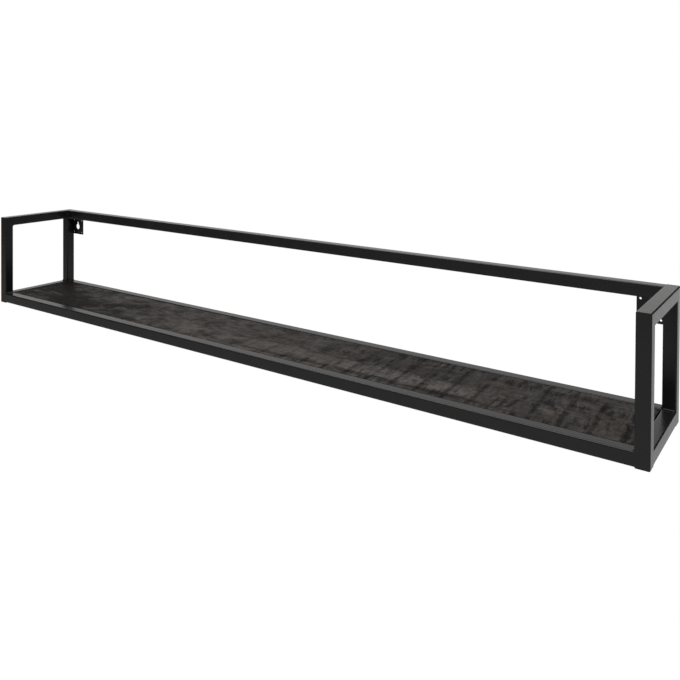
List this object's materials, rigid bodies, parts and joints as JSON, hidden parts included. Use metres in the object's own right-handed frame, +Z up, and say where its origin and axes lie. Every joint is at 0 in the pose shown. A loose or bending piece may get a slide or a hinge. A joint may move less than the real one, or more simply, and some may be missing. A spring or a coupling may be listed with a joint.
{
  "type": "wall shelf",
  "caption": "Long shallow wall shelf: open box frame of square steel tube, a stained rough-sawn wood board in its floor, keyhole hanger plates at the rear top corners.",
  "frame": {"origin": "below the middle of the shelf, level with the undersides of the foot plugs", "axes": "+X along the shelf to its right end seen from the front, +Y through its depth to the wall, +Z up"},
  "size_m": [1.45, 0.19, 0.2015],
  "materials": {
    "black_steel": "fine-textured satin black powder coat",
    "stained_wood": "rough-sawn, black-brown stain, matt",
    "black_plastic": "moulded, matt",
    "zinc_screw": "zinc plated"
  },
  "bodies": {
    "root": {"left_front_post": "black_steel", "left_rear_post": "black_steel", "left_top_side_rail": "black_steel", "left_floor_side_rail": "black_steel", "left_front_foot_plug": "black_plastic", "left_rear_foot_plug": "black_plastic", "right_front_post": "black_steel", "right_rear_post": "black_steel", "right_top_side_rail": "black_steel", "right_floor_side_rail": "black_steel", "right_front_foot_plug": "black_plastic", "right_rear_foot_plug": "black_plastic", "rear_top_rail": "black_steel", "rear_floor_rail": "black_steel", "front_floor_rail": "black_steel", "left_hanger_plate": "black_steel", "right_hanger_plate": "black_steel", "front_plank": "stained_wood", "rear_plank": "stained_wood", "front_tab_left": "black_steel", "front_tab_middle": "black_steel", "front_tab_right": "black_steel", "rear_tab_left": "black_steel", "rear_tab_middle": "black_steel", "rear_tab_right": "black_steel", "board_screws": "zinc_screw"}
  },
  "joints": []
}
